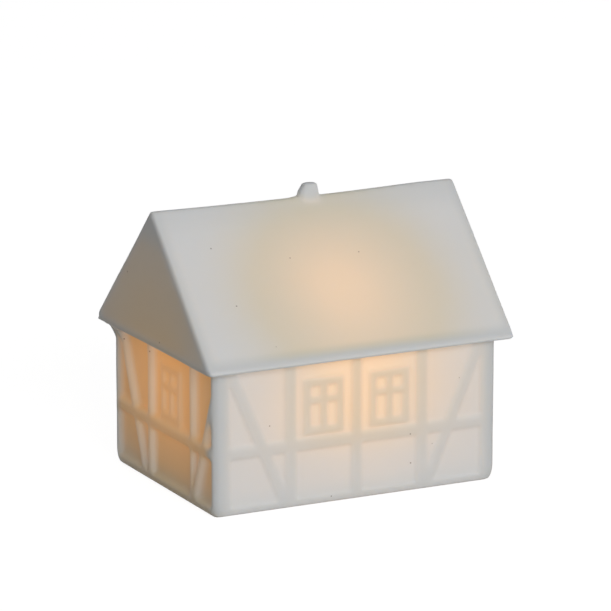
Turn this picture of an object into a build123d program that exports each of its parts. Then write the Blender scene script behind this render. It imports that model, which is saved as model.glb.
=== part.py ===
from build123d import *
import math
import os

# Tealight house: a slip-cast bisque porcelain house, open below, set over a battery tealight.
# Millimetres and degrees. +Z is up, +X runs along the ridge and -Y is the front.
# The origin is on the table, under the middle of the house.

# House: outer form
roof_length = 80.0
roof_width = 65.0
eave_height = 35.2
ridge_height = 68.5
wall_length = 74.8
wall_width = 55.8
wall_corner_radius = 2.6
eave_radius = 1.25
ridge_radius = 1.5
verge_radius = 0.8
foot_height = 4.0
foot_inset = 1.5
# Shares of the foot's height at which its rounding is drawn
foot_shares = (0.0, 0.1, 0.25, 0.45, 0.7, 1.0)

# House: thickness of the cast shell
wall_thickness = 3.0
roof_thickness = 2.4
gable_thickness = 3.4
inner_corner_radius = 2.0

# House: timber relief, drafted so that it leaves the mould, flat on the long walls and deep on the gables
relief_draft = 32.0
rail_width = 2.15
rail_height = 15.3
sill_height = 2.0
long_relief_depth = 0.45
long_corner_post_width = 4.0
long_post_width = 2.15
long_brace_width = 2.0
gable_relief_depth = 1.5
gable_corner_post_width = 1.6
gable_post_width = 1.2
gable_brace_width = 1.2

# House: where the timbers stand on the long walls and on the gable walls
long_bay = 17.25
long_brace_foot = 17.65
long_brace_run = 15.3
gable_rear_post = 7.5
gable_rear_brace_foot = 9.8
gable_front_post = 15.45
gable_brace_run = 14.0

# House: windows in relief
window_width = 10.0
window_height = 13.0
window_sill_height = 17.6
window_frame_width = 1.3
window_bar_width = 1.25
window_upper_pane_height = 3.1
long_window_relief = 0.45
gable_window_relief = 0.75
gable_window_offset = -2.8

# House: chimney
chimney_offset = 1.5
chimney_length = 4.3
chimney_width = 3.4
chimney_height = 2.6
chimney_draft = 8.0
chimney_corner_radius = 1.1
chimney_top_radius = 0.9

# Tealight: cup
cup_diameter = 37.6
cup_height = 17.6
cup_draft = 1.0
cup_wall = 1.5
rim_width = 1.6
rim_radius = 0.6
pool_depth = 2.3
pool_slope_run = 2.6
pool_wall = 1.2

# Tealight: base with the cell well
base_recess = 0.8
base_thickness = 1.4
base_ledge = 0.7
base_clearance = 0.1
well_wall = 1.0
well_headroom = 0.8
well_roof = 1.0
well_rib_width = 1.6
well_rib_angles = (60, 180, 300)
cell_clearance = 0.2

# Tealight: coin cell
cell_diameter = 20.0
cell_height = 3.2
cell_sheet = 0.3
cell_crimp_height = 2.7
cell_cap_diameter = 17.4
cell_cap_radius = 0.5

# Tealight: battery door, held by lugs that turn in over the base
door_diameter = 21.7
door_clearance = 0.15
door_lug_reach = 1.3
door_lug_thickness = 0.8
door_lug_play = 0.1
door_lug_angle = 24.0
door_notch_angle = 32.0
door_lug_angles = (30, 150, 270)
door_turn = 45.0
coin_slot_length = 11.0
coin_slot_width = 1.9
coin_slot_depth = 0.7

# Tealight: slide switch
switch_travel = 2.5
switch_length = 4.4
switch_width = 2.6
switch_thickness = 1.0
switch_wall_gap = 0.3
switch_clearance = 0.15
knob_length = 3.0
knob_width = 1.7
knob_recess = 0.3
finger_width = 1.2
finger_thickness = 1.0
finger_lift = 1.2

# Tealight: light-emitting diode
led_radius = 2.5
led_height = 8.6
led_flange_radius = 2.9
led_flange_height = 1.0
led_stand_height = 5.0
led_stand_wall = 1.0
lead_diameter = 0.5
lead_pitch = 2.54
lead_depth = 1.6
lead_bend = 0.6
lead_gap = 0.1
lead_tail = 5.0
lead_hole_clearance = 0.35

# Tealight: flame-shaped diffuser
flame_radius = 5.6
flame_height = 24.0
flame_lean = 1.9
flame_wall = 1.0
flame_flange_width = 1.9
flame_flange_thickness = 1.0
flame_clearance = 0.2
flame_seat_wall = 1.4
# Shares of the flame's height, radius and lean, from the wax to the tip
flame_shares = ((0.0, 0.94, 0.0), (0.18, 1.0, 0.0), (0.4, 0.9, 0.06), (0.62, 0.66, 0.24),
                (0.82, 0.37, 0.62), (1.0, 0.09, 1.0))
flame_hollow_shares = flame_shares[:5]

# Shared by all cuts and joins
overrun = 1.0
bite = 0.4

# Levels and radii that several pieces share
panel_length = wall_length - 2 * gable_relief_depth
panel_width = wall_width - 2 * long_relief_depth
draft_slope = math.tan(math.radians(relief_draft))
base_top = base_recess + base_thickness
cup_radius = cup_diameter / 2
cup_top_radius = cup_radius - cup_height * math.tan(math.radians(cup_draft))
cup_inner_radius = cup_top_radius - cup_wall
base_seat_radius = cup_inner_radius + base_ledge
base_radius = base_seat_radius - base_clearance
pool_level = cup_height - pool_depth
cup_ceiling = pool_level - pool_wall
door_radius = door_diameter / 2
door_hole_radius = door_radius + door_clearance
lug_radius = door_hole_radius + door_lug_reach
lug_bottom = base_top + door_lug_play
lug_top = lug_bottom + door_lug_thickness
cell_radius = cell_diameter / 2
cell_top = base_top + cell_height
well_inner_radius = lug_radius + cell_clearance
well_outer_radius = well_inner_radius + well_wall
well_ceiling = cell_top + well_headroom
well_top = well_ceiling + well_roof
led_seat = well_top + led_stand_height
lead_radius = lead_diameter / 2
lead_hole_radius = lead_radius + lead_hole_clearance
stand_bore = lead_pitch / 2 + lead_hole_radius
stand_radius = stand_bore + led_stand_wall
flame_flange_radius = flame_radius + flame_clearance + flame_flange_width
flame_flange_bottom = cup_ceiling - flame_flange_thickness
switch_reach = well_outer_radius + switch_wall_gap + switch_width / 2
switch_on = -switch_travel / 2
finger_bottom = base_top + finger_lift
finger_top = finger_bottom + finger_thickness
lead_drop_radius = cell_radius + lead_radius


def roof_outline():
    return Polygon((-roof_width / 2, eave_height), (roof_width / 2, eave_height), (0, ridge_height),
                   align=None)


def roof_body():
    """Plain prism with soft eaves, ridge and verges."""
    outline = roof_outline()
    ridge = outline.vertices().sort_by(Axis.Y)[-1]
    outline = fillet(ridge, ridge_radius)
    eaves = outline.vertices().group_by(Axis.Y)[0]
    outline = fillet(eaves, eave_radius)
    prism = extrude(Plane.YZ * outline, roof_length / 2, both=True)
    verges = prism.faces().filter_by(Axis.X).edges()
    return fillet(verges, verge_radius)


def chimney_section(height):
    """Rounded outline of the stack at a height above the ridge line."""
    shrink = 2 * height * math.tan(math.radians(chimney_draft))
    outline = RectangleRounded(chimney_length - shrink, chimney_width - shrink, chimney_corner_radius)
    return Pos(chimney_offset, 0, ridge_height + height) * outline


def chimney():
    """Solid stub that grows out of the ridge, rooted in the roof by its own width."""
    stack = loft([chimney_section(-chimney_width), chimney_section(chimney_height)])
    return fillet(stack.faces().sort_by(Axis.Z)[-1].edges(), chimney_top_radius)


def raised_block(length, width, height):
    """Drafted block: its top has the stated size, its flanks spread to the panel and bite into it."""
    spread = 2 * (height + bite) * draft_slope
    block = extrude(Rectangle(length + spread, width + spread), height + bite, taper=relief_draft)
    return Pos(0, 0, -bite) * block


def raised_bar(start, end, width, depth):
    """Drafted timber along the line between two points of a wall."""
    run = Vector(*end) - Vector(*start)
    middle = (Vector(*start) + Vector(*end)) / 2
    angle = math.degrees(math.atan2(run.Y, run.X))
    return Pos(middle.X, middle.Y) * Rot(0, 0, angle) * raised_block(run.length, width, depth)


def rail(length, corner_width, depth):
    """Middle rail of one wall, from corner post to corner post."""
    end = length / 2 - corner_width / 2
    return raised_bar((-end, rail_height), (end, rail_height), rail_width, depth)


def post(place, width, depth):
    return raised_bar((place, sill_height / 2), (place, eave_height), width, depth)


def pane(length, width, relief):
    """Drafted hollow between the members of a window."""
    spread = 2 * overrun * draft_slope
    hollow = extrude(Rectangle(length + spread, width + spread), relief + overrun, taper=relief_draft)
    return Pos(0, 0, relief + overrun) * Rot(180, 0, 0) * hollow


def window(place, relief):
    """Casement in relief: a frame, one upright bar and a transom above the middle."""
    block = raised_block(window_width, window_height, relief)
    pane_width = (window_width - 2 * window_frame_width - window_bar_width) / 2
    lower_height = window_height - 2 * window_frame_width - window_bar_width - window_upper_pane_height
    across = (pane_width + window_bar_width) / 2
    upper = window_height / 2 - window_frame_width - window_upper_pane_height / 2
    lower = -window_height / 2 + window_frame_width + lower_height / 2
    for side in (-across, across):
        block -= Pos(side, upper, 0) * pane(pane_width, window_upper_pane_height, relief)
        block -= Pos(side, lower, 0) * pane(pane_width, lower_height, relief)
    return Pos(place, window_sill_height + window_height / 2) * block


def long_wall_relief():
    """Front wall: three posts, a brace in each end bay and a window in each middle bay."""
    wall = Plane(origin=(0, -panel_width / 2, 0), x_dir=(1, 0, 0), z_dir=(0, -1, 0))
    pieces = [rail(wall_length, long_corner_post_width, long_relief_depth)]
    for place in (-long_bay, 0, long_bay):
        pieces.append(post(place, long_post_width, long_relief_depth))
    for side in (-1, 1):
        foot = (side * long_brace_foot, 0)
        head = (side * (long_brace_foot + long_brace_run), eave_height)
        pieces.append(raised_bar(foot, head, long_brace_width, long_relief_depth))
        pieces.append(window(side * long_bay / 2, long_window_relief))
    return [wall * piece for piece in pieces]


def gable_wall_relief():
    """Left gable wall: two posts, a brace beside each and one window, all nearer to the front."""
    wall = Plane(origin=(-panel_length / 2, 0, 0), x_dir=(0, -1, 0), z_dir=(-1, 0, 0))
    corner = wall_width / 2 - gable_corner_post_width / 2
    front_head = (corner, (corner - gable_front_post) * eave_height / gable_brace_run)
    rear_head = (-gable_rear_brace_foot - gable_brace_run, eave_height)
    braces = [((gable_front_post, 0), front_head), ((-gable_rear_brace_foot, 0), rear_head)]
    pieces = [rail(wall_width, gable_corner_post_width, gable_relief_depth)]
    for place in (gable_front_post, -gable_rear_post):
        pieces.append(post(place, gable_post_width, gable_relief_depth))
    for foot, head in braces:
        pieces.append(raised_bar(foot, head, gable_brace_width, gable_relief_depth))
    pieces.append(window(-gable_window_offset, gable_window_relief))
    return [wall * piece for piece in pieces]


def corner_post():
    """Front left corner: full-depth post with drafted flanks on both walls."""
    long_depth = long_relief_depth + bite
    gable_depth = gable_relief_depth + bite
    outline = Polygon((0, 0), (long_corner_post_width, 0),
                      (long_corner_post_width + long_depth * draft_slope, long_depth),
                      (gable_depth, long_depth),
                      (gable_depth, gable_corner_post_width + gable_depth * draft_slope),
                      (0, gable_corner_post_width), align=None)
    return Pos(-wall_length / 2, -wall_width / 2, 0) * extrude(outline, eave_height + bite)


def sill():
    """Full-depth band round the foot of the walls, with a drafted top."""
    outline = RectangleRounded(wall_length, wall_width, wall_corner_radius)
    flank = gable_relief_depth * draft_slope
    band = extrude(outline, sill_height)
    slope = extrude(outline, flank, taper=90 - relief_draft)
    return band + Pos(0, 0, sill_height) * slope


def foot_section(share):
    """Wall outline at a share of the foot's height, drawn in as a quarter of an ellipse."""
    inset = foot_inset * (1 - math.sqrt(1 - (1 - share) ** 2))
    outline = RectangleRounded(wall_length - 2 * inset, wall_width - 2 * inset, wall_corner_radius - inset)
    return Pos(0, 0, foot_height * share) * outline


def wall_envelope():
    """All that the walls may fill: their full outline on a rounded foot."""
    foot = loft([foot_section(share) for share in foot_shares], ruled=True)
    return foot + extrude(foot_section(foot_shares[-1]), eave_height + bite - foot_height)


def cavity():
    """Inside of the shell: walls and slopes follow the outside at the stated thickness."""
    inner_length = wall_length - 2 * gable_thickness
    inner_width = wall_width - 2 * wall_thickness
    room = Pos(0, 0, -overrun) * extrude(
        RectangleRounded(inner_length, inner_width, inner_corner_radius), ridge_height)
    inset = offset(roof_outline(), -roof_thickness, kind=Kind.INTERSECTION)
    peak = inset.vertices().sort_by(Axis.Y)[-1].Y
    pitch = (ridge_height - eave_height) / (roof_width / 2)
    foot = (peak + overrun) / pitch
    under_slopes = Polygon((-foot, -overrun), (foot, -overrun), (0, peak), align=None)
    room = room & extrude(Plane.YZ * under_slopes, inner_length / 2, both=True)
    loft_length = roof_length - 2 * gable_thickness
    return room + extrude(Plane.YZ * inset, loft_length / 2, both=True)


def house_shell():
    core = RectangleRounded(panel_length, panel_width, wall_corner_radius - long_relief_depth)
    panels = extrude(core, eave_height + bite)
    front = long_wall_relief()
    left = gable_wall_relief() + [corner_post()]
    rear = [mirror(piece, about=Plane.XZ) for piece in front + [left[-1]]]
    right = [mirror(piece, about=Plane.YZ) for piece in left]
    right.append(mirror(rear[-1], about=Plane.YZ))
    walls = (panels + front + left + rear + right + sill()) & wall_envelope()
    return walls + roof_body() + chimney() - cavity()


def tealight_cup():
    """Moulded cup with a dished top like melted wax and a step that seats the base."""
    pool_radius = cup_top_radius - rim_width - pool_slope_run
    flame_hole = flame_radius + flame_clearance
    outline = Polygon((cup_radius, 0), (cup_top_radius, cup_height), (cup_top_radius - rim_width, cup_height),
                      (pool_radius, pool_level), (flame_hole, pool_level), (flame_hole, cup_ceiling),
                      (cup_inner_radius, cup_ceiling), (cup_inner_radius, base_top),
                      (base_seat_radius, base_top), (base_seat_radius, 0), align=None)
    rim = outline.vertices().group_by(Axis.Y)[-1]
    outline = fillet(rim, rim_radius)
    return revolve(Plane.XZ * outline, Axis.Z)


def flame_loft(base, radius, shares):
    sections = []
    for height_share, radius_share, lean_share in shares:
        place = Pos(flame_lean * lean_share, 0, base + flame_height * height_share)
        sections.append(place * Circle(radius * radius_share))
    return loft(sections)


def flame_diffuser():
    """Hollow flame with a flange that is held under the cup's top."""
    flame = flame_loft(cup_ceiling, flame_radius, flame_shares)
    flange = Pos(0, 0, flame_flange_bottom) * extrude(Circle(flame_flange_radius), flame_flange_thickness)
    hollow = flame_loft(cup_ceiling, flame_radius - flame_wall, flame_hollow_shares)
    mouth_radius = (flame_radius - flame_wall) * flame_hollow_shares[0][1]
    mouth = Pos(0, 0, flame_flange_bottom - overrun) * extrude(
        Circle(mouth_radius), flame_flange_thickness + overrun)
    return flame + flange - hollow - mouth


def ring_sector(inner, outer, height, middle, angle):
    """Block between two radii that spans an angle about a middle direction."""
    half = math.radians(angle / 2)
    far = outer / math.cos(half)
    wedge = Polygon((0, 0), (far * math.cos(half), -far * math.sin(half)),
                    (far * math.cos(half), far * math.sin(half)), align=None)
    band = (Circle(outer) - Circle(inner)) & wedge
    return Rot(0, 0, middle) * extrude(band, height)


def base_floor():
    """Round plate with the door hole, its lug notches and the slot for the switch knob."""
    plate = Circle(base_radius) - Circle(door_hole_radius)
    floor = Pos(0, 0, base_recess) * extrude(plate, base_thickness)
    for angle in door_lug_angles:
        notch = ring_sector(door_radius, lug_radius + door_clearance, base_thickness + 2 * overrun,
                            angle - door_turn, door_notch_angle)
        floor -= Pos(0, 0, base_recess - overrun) * notch
    slot_length = knob_length + switch_travel + 2 * switch_clearance
    slot_width = knob_width + 2 * switch_clearance
    slot = Box(slot_width, slot_length, base_thickness + 2 * overrun)
    return floor - Pos(switch_reach, 0, base_recess + base_thickness / 2) * slot


def cell_well():
    """Round wall and roof over the cell, with guide ribs and a window for the switch finger."""
    wall = Circle(well_outer_radius) - Circle(well_inner_radius)
    well = Pos(0, 0, base_top) * extrude(wall, well_top - base_top)
    well += Pos(0, 0, well_ceiling) * extrude(Circle(well_outer_radius), well_roof)
    rib_bottom = lug_top + door_lug_play
    rib_inner = cell_radius + cell_clearance
    rib_length = well_inner_radius - rib_inner + well_wall / 2
    rib = Box(rib_length, well_rib_width, well_ceiling - rib_bottom,
              align=(Align.MIN, Align.CENTER, Align.MIN))
    for angle in well_rib_angles:
        well += Rot(0, 0, angle) * (Pos(rib_inner, 0, rib_bottom) * rib)
    opening = Box(well_wall + 2 * overrun, finger_width + switch_travel + 2 * switch_clearance,
                  finger_top + switch_clearance - base_top, align=(Align.CENTER, Align.CENTER, Align.MIN))
    return well - Pos(well_inner_radius + well_wall / 2, 0, base_top) * opening


def led_stand():
    """Tube that carries the diode, inside a ring that holds the flame's flange."""
    stand = Pos(0, 0, well_top) * extrude(Circle(stand_radius) - Circle(stand_bore), led_stand_height)
    seat_ring = Circle(flame_flange_radius) - Circle(flame_flange_radius - flame_seat_wall)
    return stand + Pos(0, 0, well_top) * extrude(seat_ring, flame_flange_bottom - well_top)


def lead_passages():
    """Ways for the two leads through the stand and the roof of the well."""
    height = 2 * lead_hole_radius
    groove = Box(lead_drop_radius, height, height, align=(Align.MIN, Align.CENTER, Align.MIN))
    turn = math.degrees(math.atan2(switch_on, lead_drop_radius - lead_pitch / 2))
    groove = Pos(lead_pitch / 2, 0, well_top) * Rot(0, 0, turn) * groove
    depth = well_roof + 2 * overrun
    drop = Pos(lead_drop_radius, switch_on, well_ceiling + well_roof / 2) * Cylinder(lead_hole_radius, depth)
    foot = Pos(-lead_pitch / 2, 0, well_ceiling + well_roof / 2) * Cylinder(lead_hole_radius, depth)
    return [groove, drop, foot]


def tealight_base():
    return (base_floor() + cell_well() + led_stand()) - lead_passages()


def anode_path():
    """From the diode down its stand, out over the well's roof and down beside the cell."""
    level = well_top + lead_hole_radius
    return FilletPolyline((lead_pitch / 2, 0, led_seat + lead_depth), (lead_pitch / 2, 0, level),
                          (lead_drop_radius, switch_on, level), (lead_drop_radius, switch_on, finger_bottom),
                          radius=lead_bend)


def cathode_path():
    """From the diode down through the well's roof and along the top of the cell."""
    level = cell_top + lead_radius
    return FilletPolyline((-lead_pitch / 2, 0, led_seat + lead_depth), (-lead_pitch / 2, 0, level),
                          (-lead_pitch / 2 - lead_tail, 0, level), radius=lead_bend)


def lead(path):
    start = Plane(origin=path @ 0, z_dir=path % 0)
    return sweep(start * Circle(lead_radius), path=path)


def led_lens():
    """Bullet-shaped epoxy body, cast round the upper ends of its leads."""
    flange = extrude(Circle(led_flange_radius), led_flange_height)
    body = extrude(Circle(led_radius), led_height - led_radius)
    dome = Pos(0, 0, led_height - led_radius) * Sphere(led_radius)
    lens = Pos(0, 0, led_seat) * (flange + body + dome)
    for side in (-lead_pitch / 2, lead_pitch / 2):
        socket = Cylinder(lead_radius, lead_depth, align=(Align.CENTER, Align.CENTER, Align.MIN))
        lens -= Pos(side, 0, led_seat) * socket
    return lens


def cell_can():
    """Pressed steel can, open above and crimped in over the gasket."""
    crimp = cell_radius - 2 * cell_sheet
    outline = Polygon((0, 0), (cell_radius, 0), (cell_radius, cell_crimp_height), (crimp, cell_crimp_height),
                      (crimp, cell_crimp_height - cell_sheet),
                      (cell_radius - cell_sheet, cell_crimp_height - cell_sheet),
                      (cell_radius - cell_sheet, cell_sheet), (0, cell_sheet), align=None)
    return Pos(0, 0, base_top) * revolve(Plane.XZ * outline, Axis.Z)


def cell_gasket():
    """Moulded ring that keeps the cap apart from the can."""
    crimp = cell_radius - 2 * cell_sheet
    cap_radius = cell_cap_diameter / 2
    outline = Polygon((cap_radius, cell_sheet), (cell_radius - cell_sheet, cell_sheet),
                      (cell_radius - cell_sheet, cell_crimp_height - cell_sheet),
                      (crimp, cell_crimp_height - cell_sheet), (crimp, cell_crimp_height),
                      (cap_radius, cell_crimp_height), align=None)
    return Pos(0, 0, base_top) * revolve(Plane.XZ * outline, Axis.Z)


def cell_cap():
    """Lid of the cell with its filling."""
    cap = extrude(Circle(cell_cap_diameter / 2), cell_height - cell_sheet)
    cap = fillet(cap.faces().sort_by(Axis.Z)[-1].edges(), cell_cap_radius)
    return Pos(0, 0, base_top + cell_sheet) * cap


def switch_slider():
    """Slide switch: plate on the base, knob below it and a finger that presses the anode lead."""
    plate = Box(switch_width, switch_length, switch_thickness, align=(Align.CENTER, Align.CENTER, Align.MIN))
    knob_height = base_top - knob_recess
    knob = Box(knob_width, knob_length, knob_height, align=(Align.CENTER, Align.CENTER, Align.MAX))
    post = Box(switch_width, finger_width, finger_top - base_top,
               align=(Align.CENTER, Align.CENTER, Align.MIN))
    tip = lead_drop_radius + lead_radius + lead_gap
    finger = Box(switch_reach - tip, finger_width, finger_thickness,
                 align=(Align.MAX, Align.CENTER, Align.MAX))
    slider = plate + knob + post + Pos(0, 0, finger_top - base_top) * finger
    return Pos(switch_reach, switch_on, base_top) * slider


def battery_door():
    """Round door with three lugs that turn in over the base and a slot for a coin."""
    disc = extrude(Circle(door_radius), base_thickness)
    stem_inner = cell_radius + cell_clearance
    for angle in door_lug_angles:
        reach = ring_sector(stem_inner, lug_radius, door_lug_thickness, angle, door_lug_angle)
        stem = ring_sector(stem_inner, door_radius, base_thickness + door_lug_play, angle, door_lug_angle)
        disc += [stem, Pos(0, 0, base_thickness + door_lug_play) * reach]
    slot = SlotOverall(coin_slot_length, coin_slot_width)
    disc -= extrude(slot, coin_slot_depth)
    return Pos(0, 0, base_recess) * disc


parts = {
    "house_shell": house_shell(),
    "tealight_cup": tealight_cup(),
    "flame_diffuser": flame_diffuser(),
    "led_lens": led_lens(),
    "led_anode_lead": lead(anode_path()),
    "led_cathode_lead": lead(cathode_path()),
    "tealight_base": tealight_base(),
    "cell_can": cell_can(),
    "cell_gasket": cell_gasket(),
    "cell_cap": cell_cap(),
    "switch_slider": switch_slider(),
    "battery_door": battery_door(),
}

os.makedirs("parts", exist_ok=True)
for name, piece in parts.items():
    export_step(piece, f"parts/{name}.step")
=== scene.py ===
import math

import bpy
import numpy as np
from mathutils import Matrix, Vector, noise
from mathutils.bvhtree import BVHTree


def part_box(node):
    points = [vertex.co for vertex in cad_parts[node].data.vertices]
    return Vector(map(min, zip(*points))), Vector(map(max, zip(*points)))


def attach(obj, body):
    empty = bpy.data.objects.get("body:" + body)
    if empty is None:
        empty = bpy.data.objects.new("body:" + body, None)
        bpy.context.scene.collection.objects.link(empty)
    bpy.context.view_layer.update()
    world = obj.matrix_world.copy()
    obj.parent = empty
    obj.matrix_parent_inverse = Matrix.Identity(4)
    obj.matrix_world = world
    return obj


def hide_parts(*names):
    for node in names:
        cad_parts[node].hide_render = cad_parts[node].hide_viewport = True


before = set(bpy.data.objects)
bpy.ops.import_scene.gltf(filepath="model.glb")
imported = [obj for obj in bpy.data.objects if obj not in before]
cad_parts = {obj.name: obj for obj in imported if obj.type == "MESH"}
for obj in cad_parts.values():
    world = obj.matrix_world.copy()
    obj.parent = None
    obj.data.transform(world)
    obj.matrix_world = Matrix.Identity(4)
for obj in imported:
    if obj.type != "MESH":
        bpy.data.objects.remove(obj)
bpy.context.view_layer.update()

# Sizes are in millimetres and angles in degrees, unless a name says otherwise
MM = 0.001

# Camera, as the object is seen: a long lens a little above the eaves
image_side_px = 611
focal_length_px = 4732
sensor_width = 36
camera_azimuth = -26.7
camera_elevation = 14.2
camera_distance = 1126.4
camera_target = (0.53, 0.05, 40.76)

# Cast shell: how the mould and the firing leave its edges and its lines
skin_step = 0.52
edge_softening_rounds = 1
edge_softening = 0.6
edge_recovery = -0.63
mesh_kept_share = 0.6
ridge_sag = 0.4
ridge_sag_depth = 14.0
ridge_sag_middle = -3.0
ridge_sag_reach = 34.0
chimney_middle = 1.5
chimney_half_length = 2.15
chimney_height = 2.6
chimney_flare = 0.7
chimney_fillet = 0.35
chimney_root_reach = 4.0
wall_outside = (37.4, 27.9)
wall_inside = (34.8, 25.7)
eave_outside = (40.0, 30.8)
eave_underside = 35.2
eave_radius = 1.25
eave_tip = 2.3
eave_widest_turn = 80.2
roof_pitch = 45.7
cove_reach = 2.2
cove_height = 4.2
cove_width = (7.0, 26.0)
cove_curve = 1.3
wave_height = 0.07
wave_length = 17.0

# Lamp inside: points up the flame, and how the shell takes their light, from which its glow and its warm
# shade are painted
flame_heights = (20.0, 25.0, 30.0, 35.0)
flame_place = (1.5, 0.0)
flame_middle = 28.0
reference_reach = 24.9
rim_shadow_softness = 9.0
rim_leak = 0.5
bounce_share = 0.1
panel_thickness = 2.55
depth_of_glow = 0.75
gable_depth_of_glow = 4.0
gable_head_share = 0.34
foot_loss = 0.75
foot_depth = 7.0
# The painted glow fades towards the ridge, as if the body were thicker there
ridge_glow_fade = 0.8
ridge_glow_fade_depth = 11.0
most_glow = 4.0
lamp_level = 0.43
gable_gain = 0.6
roof_gain = -0.89
roof_contrast = 1.0
day_level = 0.06
light_spread_rounds = 1
# Painted lamp light and shade in the base colour: a darker, warmer ivory where lamp light falls, stronger on
# the shaded gable ends
warm_shade_share = 0.53
warm_shade_gable_gain = 3.0
warm_shade_gable_share = 0.7
warm_shade_head_gain = 0.8
warm_shade_roof_gain = 4.3
warm_shade_roof_start = 0.95
solid_depth = 3.4
solid_fade = 0.3
flank_loss = 1.0
warm_shade_spread_rounds = 8

# Studio
floor_size = 6000
softbox_size = 900
softbox_place = (-30, -1045, 227)
softbox_power = 8.9
ambient_level = 0.264
table_shine_level = 0.91


def linear(code):
    """Linear RGBA of an sRGB hex colour."""
    shares = [int(code[i:i + 2], 16) / 255 for i in (1, 3, 5)]
    return tuple(s / 12.92 if s <= 0.04045 else ((s + 0.055) / 1.055) ** 2.4 for s in shares) + (1.0,)


def add(tree, kind, inputs=None, **settings):
    """One shader node with its settings. An input is a constant or the socket that feeds it."""
    node = tree.nodes.new("ShaderNode" + kind)
    for name, value in settings.items():
        setattr(node, name, value)
    for key, value in (inputs or {}).items():
        if isinstance(value, bpy.types.NodeSocket):
            tree.links.new(value, node.inputs[key])
        else:
            node.inputs[key].default_value = value
    return node


def surface(name, **constants):
    """New material: its node tree, its shader, set to constants, and its place on the piece in metres."""
    material = bpy.data.materials.new(name)
    material.use_nodes = True
    tree = material.node_tree
    shader = tree.nodes["Principled BSDF"]
    for key, value in constants.items():
        shader.inputs[key.replace("_", " ").title().replace("Ior", "IOR")].default_value = value
    place = add(tree, "TexCoord").outputs["Object"]
    return material, tree, shader, place


def per_metre(size_mm):
    """Texture scale at which one feature is that many millimetres."""
    return 1 / (size_mm * MM)


def numbers(mesh, what, kind, width):
    """One property of all elements of a mesh as an array."""
    elements = getattr(mesh, what)
    values = np.zeros(len(elements) * width)
    elements.foreach_get(kind, values)
    return values.reshape(-1, width) if width > 1 else values


def smooth_step(values):
    share = np.clip(values, 0, 1)
    return share * share * (3 - 2 * share)


# Shell

def evened(mesh, values):
    """Mean of each point's value and its neighbours' values."""
    edges = np.zeros(len(mesh.edges) * 2, dtype=np.int64)
    mesh.edges.foreach_get("vertices", edges)
    start, end = edges.reshape(-1, 2).T
    size = len(values)
    total = values + np.bincount(start, values[end], size) + np.bincount(end, values[start], size)
    return total / (1 + np.bincount(start, minlength=size) + np.bincount(end, minlength=size))


def baked(piece):
    """Gives a piece the mesh that its modifiers make."""
    graph = bpy.context.evaluated_depsgraph_get()
    piece.data = bpy.data.meshes.new_from_object(piece.evaluated_get(graph))
    piece.modifiers.clear()


def even_skin(node):
    """Copy of a solid with a fine, even mesh."""
    piece = bpy.data.objects.new("bisque_house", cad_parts[node].data.copy())
    bpy.context.scene.collection.objects.link(piece)
    skin = piece.modifiers.new("even skin", "REMESH")
    skin.mode = "VOXEL"
    skin.voxel_size = skin_step * MM
    baked(piece)
    piece.data.materials.clear()
    return piece


def soften(mesh):
    """Soft edges, as slip casting and firing leave them, with no loss of bulk."""
    points = numbers(mesh, "vertices", "co", 3)
    for _ in range(edge_softening_rounds):
        for share in (edge_softening, edge_recovery):
            mean = np.stack([evened(mesh, column) for column in points.T], axis=1)
            points += share * (mean - points)
    mesh.vertices.foreach_set("co", points.ravel())
    mesh.update()


def chimney_root(points, top):
    """Moves that spread the chimney's left side into the ridge, as clay left at its root does."""
    x, y, z = points.T
    beside = np.hypot(x - chimney_middle + chimney_half_length, y)
    near = smooth_step(1 - beside / chimney_root_reach)
    low = smooth_step(1 - abs(z - top + chimney_height) / chimney_height)
    left = smooth_step((chimney_middle - x) / chimney_half_length)
    lump = near * low * left
    return np.stack([-chimney_flare * lump, 0 * lump, chimney_fillet * lump], axis=1)


def eave_edge(points, low):
    """Moves that draw the front eave's round nose out to the thin edge that it has."""
    out = low[1] + eave_radius - points[:, 1]
    up = points[:, 2] - eave_underside - eave_radius
    angle = np.arctan2(up, out)
    slope = math.radians(90 - roof_pitch)
    widest = math.radians(eave_widest_turn)
    to_roof = np.cos(np.clip(slope - angle, 0, widest))
    to_underside = np.cos(np.clip(angle + math.pi / 2, 0, widest))
    reach = np.minimum(eave_radius / np.maximum(to_roof, to_underside), eave_tip)
    nose = (abs(angle + math.pi / 4 - slope / 2) < math.pi / 4 + slope / 2) & (out > -eave_radius)
    stretch = np.where(nose, reach / eave_radius - 1, 0)
    return np.stack([0 * out, -out * stretch, up * stretch], axis=1)


def eave_cove(points):
    """Moves that fill the corner under the rear left eave with a cove of clay."""
    place = np.stack([-points[:, 0], points[:, 1]], axis=1)
    height = eave_underside - points[:, 2]
    climb = (1 - np.clip(height / cove_height, 0, 1)) ** cove_curve * smooth_step(1 + height)
    near = smooth_step(1 - (np.array(wall_outside) - place) / cove_width)
    inner = (place - wall_inside) / (np.array(wall_outside) - wall_inside)
    outer = (eave_outside - place) / (np.array(eave_outside) - wall_outside)
    share = np.clip(np.minimum(inner, outer), 0, 1)
    moves = cove_reach * climb[:, None] * share * near[:, ::-1]
    return np.stack([-moves[:, 0], moves[:, 1], 0 * climb], axis=1)


def settle(mesh):
    """Ridge that sagged in the kiln, faint waves in what was meant to be flat, and clay that was
    left at the chimney's root and under one eave."""
    points = numbers(mesh, "vertices", "co", 3) / MM
    normals = numbers(mesh, "vertices", "normal", 3)
    x = points[:, 0]
    z = points[:, 2]
    low, high = (np.array(corner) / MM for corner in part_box("house_shell"))
    wave = np.array([noise.noise(Vector(p) / wave_length) for p in points]) * wave_height
    moved = normals * (wave * smooth_step(z / wave_length))[:, None]
    near_ridge = smooth_step((z - high[2] + ridge_sag_depth) / ridge_sag_depth)
    along_ridge = np.clip(1 - ((x - ridge_sag_middle) / ridge_sag_reach) ** 2, 0, 1)
    moved[:, 2] -= ridge_sag * near_ridge * along_ridge
    moved += chimney_root(points, high[2]) + eave_cove(points) + eave_edge(points, low)
    mesh.vertices.foreach_set("co", ((points + moved) * MM).ravel())
    mesh.update()


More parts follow.
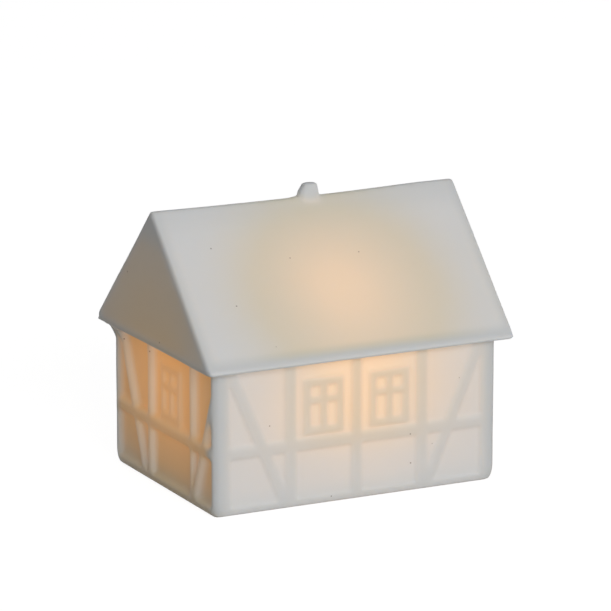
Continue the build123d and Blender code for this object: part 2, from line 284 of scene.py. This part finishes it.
def thin_out(piece, inside):
    """Coarser mesh on the plain inside, which needs no detail."""
    plain = [v.index for v in piece.data.vertices
             if inside.find_nearest(v.co)[3] < skin_step * MM]
    group = piece.vertex_groups.new(name="plain")
    group.add(plain, 1.0, "REPLACE")
    fewer = piece.modifiers.new("coarse plain", "DECIMATE")
    fewer.vertex_group = group.name
    fewer.ratio = mesh_kept_share
    baked(piece)
    piece.vertex_groups.clear()
    piece.data.shade_smooth()


def lit_inside(node):
    """Faces of the shell that see the flame, as a search tree."""
    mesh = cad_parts[node].data
    points = [v.co.copy() for v in mesh.vertices]
    faces = [tuple(p.vertices) for p in mesh.polygons]
    whole = BVHTree.FromPolygons(points, faces)
    flame = Vector((*flame_place, flame_middle)) * MM
    seen = []
    for index, face in enumerate(mesh.polygons):
        reach = face.center - flame
        if whole.ray_cast(flame, reach)[2] == index:
            seen.append(faces[index])
    return BVHTree.FromPolygons(points, seen)


def lamp_light(points, normals):
    """Light on the inside of the shell, 1 at the wall beside the flame: straight light and bounces."""
    cup_high = np.array(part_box("tealight_cup")[1]) / MM
    rim_radius = cup_high[0]
    light = np.zeros(len(points))
    for height in flame_heights:
        flame = np.array((*flame_place, height))
        reach = flame - points
        distance = np.linalg.norm(reach, axis=1)
        facing = np.clip((reach * normals).sum(1) / distance, 0, 1)
        out = np.hypot(reach[:, 0], reach[:, 1])
        share = np.clip(rim_radius / np.maximum(out, rim_radius), 0, 1)
        over_rim = height - reach[:, 2] * share - cup_high[2]
        clear = rim_leak + (1 - rim_leak) * smooth_step(over_rim / rim_shadow_softness + 0.5)
        light += facing * clear * (reference_reach / distance) ** 2 / len(flame_heights)
    middle = np.array((*flame_place, flame_middle))
    far = np.linalg.norm(points - middle, axis=1)
    return light + bounce_share * (reference_reach / far) ** 2


def spread(mesh, values, rounds):
    """Values evened out between neighbours, as light spreads sideways in the body."""
    for _ in range(rounds):
        values = evened(mesh, values)
    return values


def glow_of(piece, inside):
    """Paints the light that comes through each point, from the lamp and from the daylit room, as a colour
    for the emission, and paints how much lamp light soaks the body there as a warm shade for the base
    colour."""
    mesh = piece.data
    points = numbers(mesh, "vertices", "co", 3) / MM
    nearest = [inside.find_nearest(v.co) for v in mesh.vertices]
    behind = np.array([n[0] for n in nearest]) / MM
    facing = np.array([n[1] for n in nearest])
    depth = np.array([n[3] for n in nearest]) / MM
    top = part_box("house_shell")[1].z / MM - chimney_height
    # The painted glow and the painted warm shade fade towards the ridge, as if the body were thicker there;
    # the mesh is not thicker there.
    depth += ridge_glow_fade * smooth_step(1 - (top - behind[:, 2]) / ridge_glow_fade_depth)
    light = lamp_light(behind, facing)
    across, along, up = numbers(mesh, "vertices", "normal", 3).T ** 2
    wall = smooth_step(eave_underside - points[:, 2])
    gable = facing[:, 0] ** 2 * (across + up * wall)
    roof = up * (1 - wall)
    head = gable * (1 - wall)
    decay = depth_of_glow + (gable_depth_of_glow - depth_of_glow) * gable
    thin = np.minimum(np.exp((panel_thickness - depth) / decay), most_glow)
    solid = np.minimum(np.exp((solid_depth - depth) / solid_fade), 1)
    # The painted glow is stronger on the gable walls, which lie in shade, and weaker in the gable heads and
    # on the roof.
    side = (1 + gable_gain * gable + roof_gain * roof) * (1 - (1 - gable_head_share) * head)
    foot = 1 - foot_loss * smooth_step(1 - points[:, 2] / foot_depth)
    # Painted lamp glow, as emission: the lamp's light through the wall, fading near the foot.
    lamp = lamp_level * side * solid * thin * foot * light ** (1 + roof_contrast * roof)
    # Painted daylight glow, as emission: daylight through the thin parts, but not on the gable ends.
    day = day_level * (1 - gable) * np.minimum(thin, 1) * solid
    # The base colour is painted with lamp light and shade: a darker, warmer ivory that grows with the lamp
    # light on the inside, stronger on the gable ends, which lie in shade, none on thick parts, and less on
    # the gable's front-facing flanks, which the softbox lights.
    gain = 1 + warm_shade_gable_gain * (gable - head) + warm_shade_head_gain * head + warm_shade_roof_gain * roof
    painted_warm_shade = smooth_step(light * gain - warm_shade_roof_start * roof)
    painted_warm_shade *= warm_shade_share * (1 + warm_shade_gable_share * gable)
    painted_warm_shade *= solid * (1 - flank_loss * along * facing[:, 0] ** 2)
    lamp = spread(mesh, lamp, light_spread_rounds)[:, None]
    day = spread(mesh, day, light_spread_rounds)[:, None]
    painted_warm_shade = spread(mesh, painted_warm_shade, warm_shade_spread_rounds)
    # The painted glow turns redder where the painted warm shade is stronger.
    warmth = painted_warm_shade[:, None]
    ember = (1 - warmth) * np.array(linear("#FFB874")) + warmth * np.array(linear("#FF9810"))
    through = mesh.attributes.new("light_through", "FLOAT_COLOR", "POINT")
    through.data.foreach_set("color", (lamp * ember + day).astype(np.float32).ravel())
    warm_shade_painted = mesh.attributes.new("painted_warm_shade", "FLOAT", "POINT")
    warm_shade_painted.data.foreach_set("value", painted_warm_shade.astype(np.float32))


def bisque_porcelain():
    """Unglazed porcelain, slip-cast and fired: matt, dense and white, and thin enough to let light through.
    Its amber glow where the lamp is behind it is painted light, an emission from stored colour, and its base
    colour is painted a darker, warmer ivory there and on the shaded gable ends; elsewhere it stays cool and
    chalky. Its pinholes are painted shade."""
    grain_size = 0.45
    mottle_size = 22.0
    pinhole_spacing = 6.0
    pinhole_radius = 0.24
    material, tree, shader, place = surface("bisque_porcelain_slip_cast", roughness=0.62, ior=1.5,
                                            specular_ior_level=0.3, subsurface_weight=1.0,
                                            subsurface_scale=0.8 * MM, subsurface_radius=(1.0, 0.9, 0.8),
                                            emission_strength=1.0)
    painted_warm_shade = add(tree, "Attribute", attribute_name="painted_warm_shade").outputs["Fac"]
    through = add(tree, "Attribute", attribute_name="light_through").outputs["Color"]
    mottle = add(tree, "TexNoise", {"Vector": place, "Scale": per_metre(mottle_size), "Detail": 3.0})
    body = add(tree, "Mix", {"Factor": mottle.outputs["Fac"], "A": linear("#D7D9DA"),
                             "B": linear("#DADBDB")}, data_type="RGBA")
    # Painted lamp light and shade: the stored warm shade turns the base colour a darker, warmer ivory.
    warm_shade_painted = add(tree, "Mix", {"Factor": painted_warm_shade, "A": body.outputs["Result"], "B": linear("#D1C79F")},
                 data_type="RGBA")
    pores = add(tree, "TexVoronoi", {"Vector": place, "Scale": per_metre(pinhole_spacing)})
    # Painted shade of pinholes: dark spots in the colour, with no pit in the surface.
    pinhole_shade = add(tree, "MapRange", {"Value": pores.outputs["Distance"],
                                  "From Min": 0.6 * pinhole_radius / pinhole_spacing,
                                  "From Max": pinhole_radius / pinhole_spacing,
                                  "To Min": 0.75, "To Max": 0.0})
    pinhole_shaded = add(tree, "Mix", {"Factor": pinhole_shade.outputs["Result"], "A": warm_shade_painted.outputs["Result"],
                              "B": linear("#6B6259")}, data_type="RGBA")
    grain = add(tree, "TexNoise", {"Vector": place, "Scale": per_metre(grain_size), "Detail": 4.0})
    bump = add(tree, "Bump", {"Height": grain.outputs["Fac"], "Strength": 0.25, "Distance": 0.05 * MM})
    tree.links.new(pinhole_shaded.outputs["Result"], shader.inputs["Base Color"])
    # Painted glow: the stored light through the shell drives the emission.
    tree.links.new(through, shader.inputs["Emission Color"])
    tree.links.new(bump.outputs["Normal"], shader.inputs["Normal"])
    return material


def house():
    inside = lit_inside("house_shell")
    piece = even_skin("house_shell")
    soften(piece.data)
    settle(piece.data)
    thin_out(piece, inside)
    glow_of(piece, inside)
    piece.data.materials.append(bisque_porcelain())
    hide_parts("house_shell")
    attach(piece, "house")


# Tealight

def ivory_polypropylene():
    """Polypropylene, moulded with a fine spark-eroded grain: ivory, satin, and warm where the flame
    lights it."""
    material, tree, shader, place = surface("ivory_polypropylene_moulded", roughness=0.42, ior=1.49)
    grain = add(tree, "TexNoise", {"Vector": place, "Scale": per_metre(0.3), "Detail": 3.0})
    tone = add(tree, "Mix", {"Factor": grain.outputs["Fac"], "A": linear("#EBE1CB"), "B": linear("#F1E8D6")},
               data_type="RGBA")
    bump = add(tree, "Bump", {"Height": grain.outputs["Fac"], "Strength": 0.3, "Distance": 0.03 * MM})
    tree.links.new(tone.outputs["Result"], shader.inputs["Base Color"])
    tree.links.new(bump.outputs["Normal"], shader.inputs["Normal"])
    return material


def frosted_flame():
    """Polypropylene, moulded thin and frosted: the diode inside makes it bright at its foot and amber
    at its tip."""
    material, tree, shader, place = surface("frosted_polypropylene_flame", roughness=0.5, ior=1.49)
    low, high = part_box("flame_diffuser")
    height = add(tree, "SeparateXYZ", {"Vector": place}).outputs["Z"]
    climb = add(tree, "MapRange", {"Value": height, "From Min": low.z, "From Max": high.z})
    tone = add(tree, "Mix", {"Factor": climb.outputs["Result"], "A": linear("#FFD79A"),
                             "B": linear("#FF9B3C")}, data_type="RGBA")
    power = add(tree, "MapRange", {"Value": climb.outputs["Result"], "To Min": 4.0, "To Max": 1.6})
    tree.links.new(tone.outputs["Result"], shader.inputs["Base Color"])
    tree.links.new(tone.outputs["Result"], shader.inputs["Emission Color"])
    tree.links.new(power.outputs["Result"], shader.inputs["Emission Strength"])
    return material


def amber_epoxy():
    """Epoxy, cast round the chip: clear amber with a glossy skin."""
    material, tree, shader, place = surface("amber_epoxy_cast", roughness=0.06, ior=1.55,
                                            transmission_weight=0.7, emission_strength=2.0)
    cloud = add(tree, "TexNoise", {"Vector": place, "Scale": per_metre(2.0)})
    tone = add(tree, "Mix", {"Factor": cloud.outputs["Fac"], "A": linear("#FFC46A"), "B": linear("#FFD890")},
               data_type="RGBA")
    tree.links.new(tone.outputs["Result"], shader.inputs["Base Color"])
    tree.links.new(tone.outputs["Result"], shader.inputs["Emission Color"])
    return material


def drawn_metal(name, light, dark, roughness, line_size):
    """Plated metal with the fine lines that drawing or pressing leaves, which spread its highlights."""
    material, tree, shader, place = surface(name, metallic=1.0)
    lines = add(tree, "TexNoise", {"Vector": place, "Scale": per_metre(line_size), "Detail": 4.0})
    tone = add(tree, "Mix", {"Factor": lines.outputs["Fac"], "A": linear(dark), "B": linear(light)},
               data_type="RGBA")
    rough = add(tree, "MapRange", {"Value": lines.outputs["Fac"], "To Min": roughness - 0.08,
                                   "To Max": roughness + 0.08})
    tree.links.new(tone.outputs["Result"], shader.inputs["Base Color"])
    tree.links.new(rough.outputs["Result"], shader.inputs["Roughness"])
    return material


def moulded_dark(name, light, dark, roughness, grain_size):
    """Dark moulded plastic: a fine even grain that breaks up its shine."""
    material, tree, shader, place = surface(name, roughness=roughness, ior=1.53)
    grain = add(tree, "TexNoise", {"Vector": place, "Scale": per_metre(grain_size), "Detail": 3.0})
    tone = add(tree, "Mix", {"Factor": grain.outputs["Fac"], "A": linear(dark), "B": linear(light)},
               data_type="RGBA")
    bump = add(tree, "Bump", {"Height": grain.outputs["Fac"], "Strength": 0.4, "Distance": 0.03 * MM})
    tree.links.new(tone.outputs["Result"], shader.inputs["Base Color"])
    tree.links.new(bump.outputs["Normal"], shader.inputs["Normal"])
    return material


def tealight():
    ivory = ivory_polypropylene()
    wire = drawn_metal("tinned_copper_wire_drawn", "#D2D1CC", "#AFAEA8", 0.32, 0.2)
    can = drawn_metal("nickel_plated_steel_pressed", "#D0CCC2", "#B4B0A6", 0.26, 0.4)
    finishes = {
        "tealight_cup": ivory,
        "tealight_base": ivory,
        "battery_door": ivory,
        "flame_diffuser": frosted_flame(),
        "led_lens": amber_epoxy(),
        "led_anode_lead": wire,
        "led_cathode_lead": wire,
        "cell_can": can,
        "cell_cap": can,
        "cell_gasket": moulded_dark("grey_polyamide_moulded", "#4A4A4D", "#38383A", 0.55, 0.3),
        "switch_slider": moulded_dark("black_abs_moulded", "#242425", "#161617", 0.45, 0.25),
    }
    for node, material in finishes.items():
        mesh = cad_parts[node].data
        mesh.materials.clear()
        mesh.materials.append(material)


# Studio

def shown_rays(tree):
    """1 where a ray shows the studio itself: straight to the camera, or in metal and glass."""
    path = add(tree, "LightPath").outputs
    straight = add(tree, "Math", {0: path["Is Camera Ray"], 1: path["Is Glossy Ray"]}, operation="MAXIMUM")
    return add(tree, "Math", {0: straight.outputs[0], 1: path["Is Transmission Ray"]},
               operation="MAXIMUM").outputs[0]


def floor():
    """Pale table, white to the camera, on which the object's shadow still shows."""
    half = floor_size / 2 * MM
    mesh = bpy.data.meshes.new("floor")
    corners = [(-half, -half, 0), (half, -half, 0), (half, half, 0), (-half, half, 0)]
    mesh.from_pydata(corners, [], [(0, 1, 2, 3)])
    plane = bpy.data.objects.new("floor", mesh)
    bpy.context.scene.collection.objects.link(plane)
    material = bpy.data.materials.new("white_table_top")
    material.use_nodes = True
    tree = material.node_tree
    tree.nodes.clear()
    bare = add(tree, "BsdfDiffuse", {"Color": linear("#AFAFAD")})
    shaded = add(tree, "BsdfDiffuse", {"Color": linear("#949494")})
    white = add(tree, "Emission", {"Strength": table_shine_level})
    seen = add(tree, "AddShader", {0: shaded.outputs[0], 1: white.outputs[0]})
    both = add(tree, "MixShader", {0: shown_rays(tree), 1: bare.outputs[0], 2: seen.outputs[0]})
    add(tree, "OutputMaterial", {"Surface": both.outputs[0]})
    mesh.materials.append(material)


def lights():
    """One large softbox in front, a little above the roof, and even light from a white room."""
    lamp = bpy.data.objects.new("softbox", bpy.data.lights.new("softbox", "AREA"))
    bpy.context.scene.collection.objects.link(lamp)
    lamp.data.size = softbox_size * MM
    lamp.data.energy = softbox_power
    lamp.location = Vector(softbox_place) * MM
    aim = Vector(camera_target) * MM
    lamp.rotation_euler = (lamp.location - aim).to_track_quat("Z", "Y").to_euler()
    room = bpy.data.worlds.new("white room")
    bpy.context.scene.world = room
    room.use_nodes = True
    tree = room.node_tree
    level = add(tree, "MapRange", {"Value": shown_rays(tree), "To Min": ambient_level, "To Max": 1.0})
    tree.links.new(level.outputs["Result"], tree.nodes["Background"].inputs["Strength"])
    tree.nodes["Background"].inputs["Color"].default_value = linear("#FFFFFF")


def camera():
    azimuth = math.radians(camera_azimuth)
    elevation = math.radians(camera_elevation)
    back = Vector((math.sin(azimuth) * math.cos(elevation), -math.cos(azimuth) * math.cos(elevation),
                   math.sin(elevation)))
    eye = bpy.data.objects.new("camera", bpy.data.cameras.new("camera"))
    bpy.context.scene.collection.objects.link(eye)
    eye.data.sensor_width = sensor_width
    eye.data.lens = sensor_width * focal_length_px / image_side_px
    eye.location = (Vector(camera_target) + back * camera_distance) * MM
    eye.rotation_euler = back.to_track_quat("Z", "Y").to_euler()
    bpy.context.scene.camera = eye


camera()
house()
tealight()
floor()
lights()
bpy.context.scene.view_settings.view_transform = "Standard"
